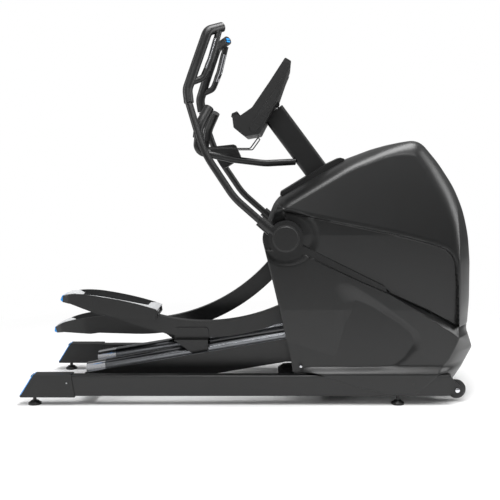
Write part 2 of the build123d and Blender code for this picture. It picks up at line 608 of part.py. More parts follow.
# ---- housing ----
SILHOUETTE = [(193, 44), (185, 215), (104, 560), (48, 790), (110, 955), (590, 1222), (800, 1250), (1039, 944),
              (1057, 500), (1044, 330), (1078, 240), (960, 44)]
SILHOUETTE_RADII = [10, 300, 500, 90, 150, 500, 60, 800, 300, 10, 10, 25]
PLAN = [(30, -318), (300, -SHELL_HALF), (830, -SHELL_HALF), (1015, -262), (1085, -190)]
PLAN_RADII = [4, 400, 160, 120, 10]
THROAT_X, THROAT_Z = 215.0, 840.0


SHOULDER_LINE = [(-60, -60), (-60, 900), (110, 955), (590, 1222), (800, 1250), (1039, 944), (1062, 300), (1110, -60)]


def shoulders(inset):
    """A solid whose top and front lean inwards towards the sides, in two steps."""
    line = offset(polygon(SHOULDER_LINE), 6 - inset)
    body = slab(line, -SHOULDERS[0][0], SHOULDERS[0][0])
    narrow = line
    for start, stop, lean in SHOULDERS:
        step = (stop - start) * math.tan(math.radians(lean))
        tapered = extrude(Plane(origin=(0, -start, 0), x_dir=(1, 0, 0), z_dir=(0, -1, 0)) * narrow, stop - start,
                          taper=lean)
        body = body + tapered + mirrored(tapered)
        narrow = offset(narrow, -step)
    return body


def housing_solid(inset):
    side = offset(rounded(SILHOUETTE, SILHOUETTE_RADII), -inset) if inset else rounded(SILHOUETTE, SILHOUETTE_RADII)
    mirrored_plan = [(x, -y) for x, y in reversed(PLAN)]
    plan = rounded(PLAN + mirrored_plan, PLAN_RADII + PLAN_RADII[::-1])
    if inset:
        plan = offset(plan, -inset)
    body = slab(side, -400, 400)
    return body & extrude(plan, 1300) & shoulders(inset)


def housing_shell():
    shell = housing_solid(0) - housing_solid(SHELL_T)
    shell -= block(-50, THROAT_X, -312, 312, 0, THROAT_Z)
    shell -= block(0, 1050, -SHELL_HALF + 6, SHELL_HALF - 6, 30, 60)
    half = MAST_DEPTH / 2 + 1
    hole = polygon([along_mast(-40, -half), along_mast(-40, half), along_mast(400, half), along_mast(400, -half)])
    shell -= slab(hole, -MAST_HALF - 1, MAST_HALF + 1)
    for side in (RIGHT, LEFT):
        shell -= disc(HUB_X, HUB_Z, 24, side * 300, side * 340)
        rail_gap = RAIL_W / 2 + 1
        shell -= block(100, RAIL_FRONT + 2, side * RAIL_Y - rail_gap, side * RAIL_Y + rail_gap, 0, RAIL_Z + RAIL_H + 1)
        fork_gap = WHEEL_W / 2 + 14
        shell -= block(WHEEL_X - 115, 1200, side * WHEEL_Y - fork_gap, side * WHEEL_Y + fork_gap, 0, 122)
    return shell


def split_housing(shell):
    top = shell & block(-100, 1300, -TOP_HALF, TOP_HALF, 150, 1400)
    right = shell & block(-100, 1300, -400, -TOP_HALF, 0, 1400)
    left = shell & block(-100, 1300, TOP_HALF, 400, 0, 1400)
    nose = shell & block(-100, 1300, -TOP_HALF, TOP_HALF, 0, 150)
    return top, right, left, nose


# ---- build every node ----
os.makedirs("parts", exist_ok=True)

both("base_rail", base_rail())
parts["base_crossmembers"] = base_crossmembers()
parts["rail_end_caps"] = pair(rail_end_cap())
parts["levelling_feet"] = levelling_feet()
parts["wheel_forks"] = pair(wheel_fork())
both("transport_wheel", transport_wheel())
both("track", track())
parts["track_end_caps"] = track_end_caps()
parts["ramp_frame"] = ramp_frame()
parts["ramp_side_panels"] = ramp_side_panels()

for name, make in (("carriage", carriage), ("roller", roller)):
    piece = make()
    parts[name + "_right"] = piece
    parts[name + "_left"] = move_left_carriage(piece)
for name, make in (("pedal_arm", pedal_arm), ("pedal_tray", pedal_tray), ("pedal_mat", pedal_mat)):
    piece = make()
    parts[name + "_right"] = piece
    parts[name + "_left"] = move_left_arm(piece)

parts["crankshaft"] = crankshaft()
parts["crank_arm_right"] = crank_arm(RIGHT)
parts["crank_arm_left"] = crank_arm(LEFT)
parts["drive_pulley"] = drive_pulley()
parts["drive_belt"] = drive_belt()
parts["flywheel"] = flywheel()
parts["generator"] = generator()
parts["drive_frame"] = drive_frame()
parts["handle_posts"] = handle_posts()
parts["shaft_bearings"] = shaft_bearings()

both("rocker_shaft", rocker_shaft())
both("swing_tube", swing_tube())
both("swing_grip", swing_grip())
both("hub_cap", hub_cap())
both("button_up", button(6.5))
both("button_down", button(-6.5))

parts["mast"] = mast()
parts["mast_boot"] = mast_boot()
parts["fixed_bars"] = fixed_bars()
parts["fixed_grips"] = fixed_grips()
parts["bottle_holder"] = bottle_holder()
parts["wire_rack"] = wire_rack()
parts["console_housing"] = console_housing()
parts["console_screen"] = console_screen()
parts["stop_key"] = stop_key()

top_cover, side_right, side_left, nose_cover = split_housing(housing_shell())
parts["housing_top"] = top_cover
parts["housing_side_right"] = side_right
parts["housing_side_left"] = side_left
parts["housing_nose"] = nose_cover

for name, shape in parts.items():
    export_step(shape, f"parts/{name}.step")
print(len(parts), "nodes")
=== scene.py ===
import json
import math

import bmesh
import bpy
import numpy as np
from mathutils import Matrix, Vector


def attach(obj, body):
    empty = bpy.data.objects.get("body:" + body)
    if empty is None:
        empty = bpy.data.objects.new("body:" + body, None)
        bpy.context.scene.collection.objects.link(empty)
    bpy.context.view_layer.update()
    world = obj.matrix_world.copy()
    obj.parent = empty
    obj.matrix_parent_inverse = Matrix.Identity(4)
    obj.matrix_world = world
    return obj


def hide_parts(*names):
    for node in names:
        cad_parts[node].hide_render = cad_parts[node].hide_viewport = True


# A front-drive elliptical trainer. Metres, +X to the front housing, +Y to the user's left, +Z up.
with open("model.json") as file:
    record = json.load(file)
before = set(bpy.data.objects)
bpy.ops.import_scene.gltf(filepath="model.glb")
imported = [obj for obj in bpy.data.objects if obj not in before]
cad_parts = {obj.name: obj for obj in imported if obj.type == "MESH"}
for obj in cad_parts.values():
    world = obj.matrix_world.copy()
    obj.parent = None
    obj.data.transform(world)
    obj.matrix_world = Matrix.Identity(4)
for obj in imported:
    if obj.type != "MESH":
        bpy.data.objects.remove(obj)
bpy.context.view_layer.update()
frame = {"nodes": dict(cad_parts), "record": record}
NODES = frame["nodes"]
SIDES = {"right": -1, "left": 1}


# ---------------------------------------------------------------- camera
FOCAL_MM, SENSOR_MM = 56.16, 36.0
CAMERA_AT = (0.14, -3.92, 1.1143)
PITCH_DOWN_DEGREES = 6.07
SHIFT_X = -0.063


def make_camera():
    data = bpy.data.cameras.new("camera")
    data.lens = FOCAL_MM
    data.sensor_width = SENSOR_MM
    data.shift_x = SHIFT_X
    camera = bpy.data.objects.new("camera", data)
    camera.location = CAMERA_AT
    camera.rotation_euler = (math.radians(90 - PITCH_DOWN_DEGREES), 0, 0)
    bpy.context.scene.collection.objects.link(camera)
    bpy.context.scene.camera = camera


make_camera()


# ---------------------------------------------------------------- node helpers
class Graph:
    """A material's node tree, with short calls to add and link nodes."""

    def __init__(self, name):
        self.material = bpy.data.materials.new(name)
        self.material.use_nodes = True
        self.tree = self.material.node_tree
        self.tree.nodes.clear()
        self.out = self.add("ShaderNodeOutputMaterial")
        self.bsdf = self.add("ShaderNodeBsdfPrincipled")
        self.link(self.bsdf, "BSDF", self.out, "Surface")

    def add(self, kind, **settings):
        node = self.tree.nodes.new(kind)
        for key, value in settings.items():
            setattr(node, key, value)
        return node

    def link(self, source, output, target, socket):
        self.tree.links.new(source.outputs[output], target.inputs[socket])

    def coords(self):
        return self.add("ShaderNodeTexCoord")

    def noise(self, scale, detail=3.0):
        node = self.add("ShaderNodeTexNoise")
        node.inputs["Scale"].default_value = scale
        node.inputs["Detail"].default_value = detail
        node.inputs["Roughness"].default_value = 0.55
        self.link(self.coords(), "Object", node, "Vector")
        return node

    def ramp(self, source, output, stops):
        node = self.add("ShaderNodeValToRGB")
        elements = node.color_ramp.elements
        while len(elements) < len(stops):
            elements.new(0.5)
        for element, (place, colour) in zip(elements, stops):
            element.position = place
            element.color = (*colour, 1)
        self.link(source, output, node, "Fac")
        return node

    def spread(self, source, output, low, high):
        """Map a 0..1 value to the range low..high."""
        node = self.add("ShaderNodeMapRange")
        node.inputs["To Min"].default_value = low
        node.inputs["To Max"].default_value = high
        self.link(source, output, node, "Value")
        return node

    def bump(self, source, output, strength, distance, before=None):
        node = self.add("ShaderNodeBump")
        node.inputs["Strength"].default_value = strength
        node.inputs["Distance"].default_value = distance
        self.link(source, output, node, "Height")
        if before is not None:
            self.link(before, "Normal", node, "Normal")
        self.link(node, "Normal", self.bsdf, "Normal")
        return node


def shade(colour, factor):
    return tuple(min(1.0, c * factor) for c in colour)


def grained(name, colour, roughness, metallic=0.0, grain=900.0, grain_depth=0.00015, mottle=7.0,
            spread=0.12, coat=0.0, orange_peel=0.0):
    """A moulded or powder-coated finish: fine grain, broad mottling in colour and gloss."""
    g = Graph(name)
    g.bsdf.inputs["Metallic"].default_value = metallic
    g.bsdf.inputs["Coat Weight"].default_value = coat
    g.bsdf.inputs["Coat Roughness"].default_value = 0.25
    broad = g.noise(mottle, 4)
    tint = g.ramp(broad, "Fac", [(0.3, shade(colour, 1 - spread)), (0.7, shade(colour, 1 + spread))])
    g.link(tint, "Color", g.bsdf, "Base Color")
    gloss = g.spread(broad, "Fac", roughness * 0.88, roughness * 1.12)
    g.link(gloss, "Result", g.bsdf, "Roughness")
    fine = g.noise(grain, 2)
    first = g.bump(fine, "Fac", 0.35, grain_depth)
    if orange_peel:
        peel = g.noise(140, 1)
        g.bump(peel, "Fac", 0.2, orange_peel, first)
    return g.material


def brushed(name, colour, roughness, stretch):
    """Metal with fine lines along one direction: stretch is small along the lines."""
    g = Graph(name)
    g.bsdf.inputs["Metallic"].default_value = 1.0
    mapping = g.add("ShaderNodeMapping")
    mapping.inputs["Scale"].default_value = stretch
    g.link(g.coords(), "Object", mapping, "Vector")
    lines = g.add("ShaderNodeTexNoise")
    lines.inputs["Scale"].default_value = 60
    lines.inputs["Detail"].default_value = 5
    g.link(mapping, "Vector", lines, "Vector")
    tint = g.ramp(lines, "Fac", [(0.3, shade(colour, 0.94)), (0.7, shade(colour, 1.05))])
    g.link(tint, "Color", g.bsdf, "Base Color")
    gloss = g.spread(lines, "Fac", roughness * 0.92, roughness * 1.08)
    g.link(gloss, "Result", g.bsdf, "Roughness")
    g.bump(lines, "Fac", 0.05, 0.0001)
    return g.material


# ---------------------------------------------------------------- materials, one per record slot
ALONG_X, ALONG_Y = (0.02, 1.0, 1.0), (1.0, 0.05, 1.0)
MATERIALS = {
    "frame_paint": grained("satin_black_paint", (0.0060, 0.0061, 0.0063), 0.34, grain=700,
                           orange_peel=0.0004),
    "track_metal": brushed("gunmetal_track", (0.17, 0.175, 0.185), 0.24, ALONG_X),
    "cap_metal": brushed("polished_cap", (0.70, 0.71, 0.74), 0.16, ALONG_X),
    "housing_plastic": grained("housing_plastic", (0.0062, 0.0064, 0.0065), 0.34, grain=1100, mottle=3.0,
                               spread=0.08),
    "trim_plastic": grained("trim_plastic", (0.0060, 0.0061, 0.0062), 0.42, grain=800, grain_depth=0.0003),
    "console_plastic": grained("console_plastic", (0.0085, 0.0086, 0.0088), 0.42),
    "grip_rubber": grained("grip_rubber", (0.0100, 0.0102, 0.0104), 0.38, grain=500, grain_depth=0.0003),
    "mat_rubber": grained("mat_rubber", (0.58, 0.59, 0.60), 0.6, grain=600, grain_depth=0.0004, spread=0.05),
    "blue_accent": grained("blue_accent", (0.012, 0.30, 0.80), 0.3, grain=700, spread=0.05, coat=0.3),
    "wheel_rubber": grained("wheel_rubber", (0.012, 0.012, 0.012), 0.5, grain=500, grain_depth=0.0004),
    "bare_steel": brushed("bare_steel", (0.50, 0.51, 0.53), 0.3, ALONG_Y),
    "flywheel_iron": grained("flywheel_iron", (0.09, 0.09, 0.095), 0.42, metallic=1.0, grain=350,
                             grain_depth=0.0006),
    "belt_rubber": grained("belt_rubber", (0.010, 0.010, 0.010), 0.6, grain=500),
    "screen_glass": grained("screen_glass", (0.004, 0.0042, 0.005), 0.07, grain=60, grain_depth=0.00002,
                            spread=0.3, coat=1.0),
    "key_red": grained("key_red", (0.45, 0.02, 0.02), 0.3, grain=600, coat=0.3),
}
SLOT_OF = {row["node"]: row["material_slot"] for row in frame["record"]["subparts"]}
for node_name, node in NODES.items():
    node.data.materials.clear()
    node.data.materials.append(MATERIALS[SLOT_OF[node_name]])


# ---------------------------------------------------------------- mesh helpers
SHARP_DEGREES = 38


def piece(name, points, faces, slot_name, body="root", smooth=True, replaced=()):
    """A closed mesh object in world coordinates that rides a body and takes one slot's finish."""
    mesh = bpy.data.meshes.new(name)
    mesh.from_pydata([tuple(p) for p in points], [], [tuple(f) for f in faces])
    work = bmesh.new()
    work.from_mesh(mesh)
    bmesh.ops.remove_doubles(work, verts=work.verts, dist=1e-6)
    bmesh.ops.recalc_face_normals(work, faces=work.faces)
    work.to_mesh(mesh)
    work.free()
    for face in mesh.polygons:
        face.use_smooth = smooth
    mesh.materials.append(MATERIALS[slot_name])
    obj = bpy.data.objects.new(name, mesh)
    bpy.context.scene.collection.objects.link(obj)
    if smooth:
        mesh.set_sharp_from_angle(angle=math.radians(SHARP_DEGREES))
    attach(obj, body)
    if replaced:
        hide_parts(*replaced)
    return obj


def bands(rings, count, first=0):
    """Quads between successive closed rings of count points."""
    return [(first + r * count + k, first + r * count + (k + 1) % count,
             first + (r + 1) * count + (k + 1) % count, first + (r + 1) * count + k)
            for r in range(rings - 1) for k in range(count)]


def line_at(u, line):
    """Second coordinate of a line of (u, v) points at each u."""
    line = sorted(line)
    return np.interp(u, [p[0] for p in line], [p[1] for p in line])


def round_corners(corners, radii, steps=8):
    """A closed outline with each corner replaced by a curve about the size of its radius."""
    outline = []
    count = len(corners)
    for i, (corner, radius) in enumerate(zip(corners, radii)):
        here = np.array(corner, float)
        back = np.array(corners[i - 1], float) - here
        ahead = np.array(corners[(i + 1) % count], float) - here
        reach = min(np.linalg.norm(back), np.linalg.norm(ahead)) * 0.48
        back, ahead = back / np.linalg.norm(back), ahead / np.linalg.norm(ahead)
        half = math.acos(max(-1.0, min(1.0, float(back @ ahead)))) / 2
        length = min(radius / math.tan(half), reach)
        first, last = here + back * length, here + ahead * length
        for k in range(steps + 1):
            t = k / steps
            outline.append((1 - t) ** 2 * first + 2 * t * (1 - t) * here + t ** 2 * last)
    return np.array(outline)


def resample(outline, count):
    """Evenly spaced points round a closed outline."""
    loop = np.vstack([outline, outline[:1]])
    run = np.concatenate([[0], np.cumsum(np.linalg.norm(np.diff(loop, axis=0), axis=1))])
    at = np.linspace(0, run[-1], count, endpoint=False)
    return np.column_stack([np.interp(at, run, loop[:, 0]), np.interp(at, run, loop[:, 1])])


def ease(t):
    t = np.clip(t, 0, 1)
    return t * t * (3 - 2 * t)


def segment_distance(x, z, line):
    """Distance from each point to an open polyline."""
    best = np.full(x.shape, 1e9)
    for (ax, az), (bx, bz) in zip(line[:-1], line[1:]):
        dx, dz = bx - ax, bz - az
        t = np.clip(((x - ax) * dx + (z - az) * dz) / (dx * dx + dz * dz + 1e-12), 0, 1)
        best = np.minimum(best, np.hypot(x - ax - t * dx, z - az - t * dz))
    return best


def inside(x, z, ring):
    """Whether each point lies in a closed ring."""
    result = np.zeros(x.shape, bool)
    for (ax, az), (bx, bz) in zip(ring, np.roll(ring, -1, axis=0)):
        crosses = (az > z) != (bz > z)
        rise = np.where(abs(bz - az) < 1e-12, 1e-12, bz - az)
        result ^= crosses & (x < (bx - ax) * (z - az) / rise + ax)
    return result


def signed(x, z, ring):
    """Distance to a closed ring, positive inside it."""
    ring = np.array(ring, float)
    gap = segment_distance(x, z, np.vstack([ring, ring[:1]]))
    return np.where(inside(x, z, ring), gap, -gap)


# ---------------------------------------------------------------- front housing
# Outline of a side from the rear bottom corner over the top and down the nose, and its corner radii.
SILHOUETTE = [(0.193, 0.150), (0.185, 0.215), (0.104, 0.560), (0.048, 0.790), (0.110, 0.955), (0.445, 1.146),
              (0.600, 1.204), (0.690, 1.229), (0.796, 1.2455), (0.889, 1.136), (0.964, 1.023), (1.015, 0.908),
              (1.042, 0.786), (1.053, 0.664), (1.055, 0.467), (1.044, 0.330), (1.0755, 0.240), (1.045, 0.180),
              (0.974, 0.068), (0.915, 0.046), (0.640, 0.046), (0.470, 0.088), (0.300, 0.146)]
SILHOUETTE_R = [0.006, 0.30, 0.50, 0.09, 0.15, 0.6, 0.6, 0.5, 0.10, 0.6, 0.6, 0.6,
                0.6, 0.6, 0.6, 0.03, 0.008, 0.3, 0.04, 0.05, 0.15, 0.4, 0.1]
SIDE_CENTRE = np.array([0.62, 0.56])
OUTLINE_POINTS = 720

# The creases that divide a side: the middle panel lies between the upper and the lower crease.
UPPER_CREASE = [(0.150, 0.910), (0.221, 0.896), (0.422, 0.854), (0.637, 0.810), (0.767, 0.778),
                (0.860, 0.752), (0.905, 0.733), (0.935, 0.705), (0.950, 0.670), (0.963, 0.559), (0.972, 0.366)]
LOWER_CREASE = [(0.972, 0.366), (0.825, 0.445), (0.633, 0.533), (0.511, 0.585), (0.273, 0.698),
                (0.215, 0.730)]
LEDGE = [(0.629, 0.533), (0.800, 0.432), (0.977, 0.315)]
FRONT_CREASE = [(0.977, 0.315), (0.928, 0.214), (0.860, 0.133), (0.766, 0.050)]
FRONT_CREASE_END = (0.700, -0.1)

# Half-widths of the panels, and how far each leans, flares or tucks in.
UPPER_HALF, UPPER_LEAN = 0.3290, 0.26
MIDDLE_HALF, MIDDLE_TUCK = 0.3180, 0.026
LOWER_HALF, LOWER_FLARE, LOWER_TUCK = 0.3240, 0.010, 0.02
CREASE_WIDTH = 0.006
SKIRT_HALF, SKIRT_TOP = 0.353, 0.185
FACET_SLOPE, FACET_LIMIT = 0.85, 0.15
NOSE_SLOPE, CHIN_SLOPE = 0.75, 0.9

# Sunk features: a groove along the lower crease, the scoop in the lower panel and the dish round the hub.
GROOVE = [(0.300, 0.685), (0.511, 0.5875), (0.640, 0.534)]
GROOVE_DEPTH, GROOVE_WIDTH = 0.009, 0.006
SCOOP = [(0.380, 0.600), (0.474, 0.572), (0.595, 0.494), (0.725, 0.398), (0.787, 0.346), (0.806, 0.306),
         (0.797, 0.267), (0.738, 0.205), (0.686, 0.174), (0.600, 0.156), (0.478, 0.147), (0.380, 0.150)]
SCOOP_CENTRE = np.array([0.52, 0.34])
SCOOP_DEPTH, SCOOP_EDGE, SCOOP_CORNER = 0.034, 0.42, 0.05
HUB = (0.160, 0.790)
DISH_RADIUS, DISH_EDGE, DISH_DEPTH, DISH_STRETCH = 0.140, 0.040, 0.010, 0.86

# The crowned middle cover runs over the top from the throat and down the nose to the skirt.
THROAT_Z, NOSE_X, SKIRT_Z = 0.842, 0.93, 0.05
TOP_HALF, FIN_HALF = 0.15, 0.316
ROUND_TOP, ROUND_NOSE, ROUND_REAR, ROUND_FIN = 0.055, 0.05, 0.018, 0.010
SKIN = 0.005


def silhouette():
    return resample(round_corners(SILHOUETTE, SILHOUETTE_R), OUTLINE_POINTS)


def under_crown(x, z):
    """Where the silhouette meets the crowned middle cover."""
    return (z > THROAT_Z) | ((x > NOSE_X) & (z > SKIRT_Z))


def panels(x, z, lower_z):
    """Half-width of the three panels: upper, sunk middle and lower with its ledge."""
    ledge_z = np.minimum(line_at(x, LEDGE), lower_z - 0.003)
    ledge_z = np.where(x < LEDGE[0][0], lower_z - 0.004, ledge_z)
    below = np.clip((lower_z - z) / (lower_z - ledge_z), 0, 1)
    to_upper = segment_distance(x, z, UPPER_CREASE)
    upper = UPPER_HALF - UPPER_LEAN * np.clip(to_upper - 0.02, 0, 0.4) * ease((z - lower_z) / 0.05)
    middle = MIDDLE_HALF - MIDDLE_TUCK * np.clip((0.80 - z) / 0.4, 0, 1)
    lower = LOWER_HALF + LOWER_FLARE * np.clip((x - 0.2) / 0.6, 0, 1)
    lower = lower - LOWER_TUCK * np.clip((0.45 - z) / 0.4, 0, 1)
    in_middle = ease(signed(x, z, UPPER_CREASE + LOWER_CREASE) / CREASE_WIDTH + 0.5)
    return np.where(z > lower_z, upper + (middle - upper) * in_middle, middle + (lower - middle) * below)


def scoop(x, z):
    """Depth of the scoop, which falls from its rim towards its centre and fades out to the rear."""
    ring = resample(round_corners(SCOOP, [SCOOP_CORNER] * len(SCOOP)), 240) - SCOOP_CENTRE
    turn = np.arctan2(ring[:, 1], ring[:, 0])
    order = np.argsort(turn)
    reach = np.interp(np.arctan2(z - SCOOP_CENTRE[1], x - SCOOP_CENTRE[0]), turn[order],
                      np.hypot(ring[:, 0], ring[:, 1])[order], period=2 * math.pi)
    share = np.hypot(x - SCOOP_CENTRE[0], z - SCOOP_CENTRE[1]) / reach
    return SCOOP_DEPTH * ease((1 - share) / SCOOP_EDGE) * ease((x - 0.30) / 0.42)


def front_turn(x, z, lower_z):
    """How far the side turns in towards the nose: the front facet, the chin above it and the upper panel."""
    facet_top = FRONT_CREASE[0]
    ahead = x > line_at(z, [(b, a) for a, b in FRONT_CREASE])
    to_crease = segment_distance(x, z, FRONT_CREASE + [FRONT_CREASE_END])
    facet = np.where(ahead & (z < facet_top[1]), np.minimum(to_crease * FACET_SLOPE, FACET_LIMIT), 0)
    chin = np.where(ahead & (z >= facet_top[1]) & (z < lower_z),
                    np.clip(x - facet_top[0], 0, 1) * CHIN_SLOPE, 0)
    nose = np.where((z > lower_z) & (x > NOSE_X),
                    NOSE_SLOPE * np.clip(x - 0.968, 0, 1) * ease((x - 0.95) / 0.04), 0)
    return facet + chin + nose


def housing_depth(x, z, start, gap, width):
    """Half-width of the housing at each point of its side, rounded off to start within width of the edge."""
    lower_z = line_at(x, LOWER_CREASE)
    groove = ease(1 - segment_distance(x, z, GROOVE) / GROOVE_WIDTH) * ease((x - 0.27) / 0.15)
    depth = panels(x, z, lower_z) - GROOVE_DEPTH * groove - scoop(x, z)
    over_rail = ease((SKIRT_TOP - z) / 0.04) * ease((x - 0.20) / 0.10)
    depth = depth + (SKIRT_HALF - depth) * over_rail
    to_hub = np.hypot((x - HUB[0]) * np.where(x > HUB[0], DISH_STRETCH, 1.0), z - HUB[1])
    depth = depth - DISH_DEPTH * ease((DISH_RADIUS - to_hub) / DISH_EDGE) - front_turn(x, z, lower_z)
    rise = np.sqrt(np.clip(1 - (1 - np.clip(gap / width, 0, 1)) ** 2, 0, 1))
    return start + (np.maximum(depth, start) - start) * rise


def housing_side(side, rings=150, edge_rings=60):
    """One side of the housing: a relief that starts on the silhouette, with an inner skin behind it."""
    outline = silhouette()
    shrink = 1 - np.linspace(0, 1, rings) ** 1.15
    shrink[-1] = 0.004
    grid = SIDE_CENTRE + (outline - SIDE_CENTRE)[None, :, :] * shrink[:, None, None]
    x, z = grid[:, :, 0], grid[:, :, 1]
    edge_x, edge_z = outline[:, 0], outline[:, 1]
    crowned = under_crown(edge_x, edge_z)
    start = np.where(crowned, TOP_HALF, FIN_HALF)
    width = np.where(crowned, ROUND_TOP + ROUND_NOSE * ease((edge_x - SIDE_CENTRE[0]) / 0.35), ROUND_FIN)
    rear = (edge_x < 0.075) | ((edge_x < 0.130) & (edge_z < 0.95))
    width = np.where(crowned & rear, ROUND_REAR, width)
    loop = np.vstack([outline, outline[:1]])
    gap = np.ones((rings, OUTLINE_POINTS))
    for r in range(edge_rings):
        gap[r] = segment_distance(x[r], z[r], loop[::3])
    depth = housing_depth(x, z, start[None, :], gap, width[None, :])
    depth[0] = start
    outer = np.stack([x, side * depth, z], axis=-1).reshape(-1, 3)
    behind = SIDE_CENTRE + (grid - SIDE_CENTRE) * 0.992
    inner_y = side * np.maximum(depth - SKIN, start[None, :] - 0.0001)
    inner = np.stack([behind[:, :, 0], inner_y, behind[:, :, 1]], axis=-1).reshape(-1, 3)
    total, last = rings * OUTLINE_POINTS, (rings - 1) * OUTLINE_POINTS
    faces = bands(rings, OUTLINE_POINTS) + bands(rings, OUTLINE_POINTS, total)
    for k in range(OUTLINE_POINTS):
        n = (k + 1) % OUTLINE_POINTS
        faces.append((n, k, total + k, total + n))
    faces.append(tuple(last + k for k in range(OUTLINE_POINTS)))
    faces.append(tuple(total + last + k for k in range(OUTLINE_POINTS)))
    name = "right" if side < 0 else "left"
    return piece("housing_cover_" + name, np.vstack([outer, inner]), faces, "housing_plastic",
                 replaced=["housing_side_" + name])


def housing_middle():
    """The crowned cover between the two sides, from the throat over the top and down to the nose."""
    outline = silhouette()
    keep = under_crown(outline[:, 0], outline[:, 1])
    first = next(i for i in range(OUTLINE_POINTS) if keep[i] and not keep[i - 1])
    run = [outline[(first + i) % OUTLINE_POINTS] for i in range(int(keep.sum()))]
    section = run + [SIDE_CENTRE + (p - SIDE_CENTRE) * 0.990 for p in reversed(run)]
    columns = np.linspace(-TOP_HALF, TOP_HALF, 13)
    count = len(section)
    points = [(p[0], y, p[1]) for y in columns for p in section]
    faces = bands(len(columns), count)
    for c in (0, len(columns) - 1):
        for k in range(len(run) - 1):
            faces.append((c * count + k, c * count + k + 1, (c + 1) * count - 2 - k, (c + 1) * count - 1 - k))
    return piece("housing_crown", points, faces, "housing_plastic", replaced=["housing_top", "housing_nose"])


for side in SIDES.values():
    housing_side(side)
housing_middle()


# ---------------------------------------------------------------- shapes for small pieces
def prism(name, outline, y_low, y_high, slot_name, body="root", bevel=0.002, move=tuple):
    """An X-Z outline extruded along Y, with softened edges, each point then put in place by move."""
    count = len(outline)
    points = [(x, y_low, z) for x, z in outline] + [(x, y_high, z) for x, z in outline]
    faces = [tuple(range(count)), tuple(range(2 * count - 1, count - 1, -1))]
    faces += [(i, (i + 1) % count, count + (i + 1) % count, count + i) for i in range(count)]
    work = bmesh.new()
    verts = [work.verts.new(p) for p in points]
    for face in faces:
        work.faces.new([verts[i] for i in face])
    bmesh.ops.recalc_face_normals(work, faces=work.faces)
    bmesh.ops.bevel(work, geom=list(work.edges), offset=bevel, segments=3, affect="EDGES", profile=0.5)
    bmesh.ops.triangulate(work, faces=work.faces)
    work.verts.index_update()
    placed = [move(v.co) for v in work.verts]
    triangles = [tuple(v.index for v in f.verts) for f in work.faces]
    work.free()
    return piece(name, placed, triangles, slot_name, body, smooth=False)


def side_prism(name, outline, side, near, far, slot_name, bevel):
    """A prism on one side of the machine, between two distances from its middle."""
    low, high = sorted((side * near, side * far))
    return prism(name, outline, low, high, slot_name, bevel=bevel)


def lathe(name, profile, centre, axis, slot_name, body="root", around=40):
    """A turned piece: profile of (distance along the axis, radius), closed at both ends on the axis."""
    turn = Vector(axis).to_track_quat("Z", "X")
    points = []
    for along, radius in profile:
        for k in range(around):
            a = 2 * math.pi * k / around
            points.append(Vector(centre) + turn @ Vector((radius * math.cos(a), radius * math.sin(a), along)))
    last = (len(profile) - 1) * around
    ends = [tuple(range(around)), tuple(last + k for k in range(around))]
    return piece(name, points, bands(len(profile), around) + ends, slot_name, body)


def sleeve(name, path, inner, outer, arc, facing, slot_name, body, steps=14):
    """Part of a tube wall round a path, covering an arc centred on a facing direction."""
    points = []
    path = [Vector(p) for p in path]
    ring = 2 * (steps + 1)
    for i, here in enumerate(path):
        along = (path[min(i + 1, len(path) - 1)] - path[max(i - 1, 0)]).normalized()
        out = Vector(facing) - along * along.dot(Vector(facing))
        out.normalize()
        across = along.cross(out)
        for radius, order in ((outer, range(steps + 1)), (inner, reversed(range(steps + 1)))):
            for k in order:
                a = arc * (k / steps - 0.5)
                points.append(here + (out * math.cos(a) + across * math.sin(a)) * radius)
    faces = bands(len(path), ring)
    for end in (0, (len(path) - 1) * ring):
        for k in range(steps):
            faces.append((end + k, end + k + 1, end + ring - 2 - k, end + ring - 1 - k))
    return piece(name, points, faces, slot_name, body)


# ---------------------------------------------------------------- pedals
# The left arm is the right arm mirrored, slid along the ramp and rocked about its carriage pin.
PIVOT_X, PIVOT_Z = -0.302, 0.303
SLOPE = math.radians(9.67)
LEFT_ROCK, LEFT_SLIDE = math.radians(17), -0.085
ARM_Y = -0.122

HEEL_CAP = [(-0.9385, 0.470), (-0.9285, 0.4920), (-0.912, 0.4965), (-0.898, 0.478), (-0.896, 0.4555),
            (-0.926, 0.4585)]
HEEL_TREAD = [(-0.921, 0.4945), (-0.905, 0.502), (-0.862, 0.5055), (-0.838, 0.490), (-0.880, 0.486)]
TOE_TREAD = [(-0.516, 0.440), (-0.482, 0.438), (-0.4600, 0.4295), (-0.4605, 0.4235), (-0.512, 0.418)]
HEEL_CAP_HALF, HEEL_TREAD_HALF, TOE_TREAD_HALF, RIB_HALF = 0.046, 0.052, 0.078, 0.062
RIBS, RIB_START, RIB_PITCH = 19, -0.850, 0.0175
MAT_SLOPE = 0.1807


def on_left_arm(point):
    """A point of the right pedal arm, mirrored and put at the left arm's rest position."""
    dx, dz = point[0] - PIVOT_X, point[2] - PIVOT_Z
    x = PIVOT_X + LEFT_SLIDE * math.cos(SLOPE) + dx * math.cos(LEFT_ROCK) - dz * math.sin(LEFT_ROCK)
    z = PIVOT_Z + LEFT_SLIDE * math.sin(SLOPE) + dx * math.sin(LEFT_ROCK) + dz * math.cos(LEFT_ROCK)
    return (x, -point[1], z)


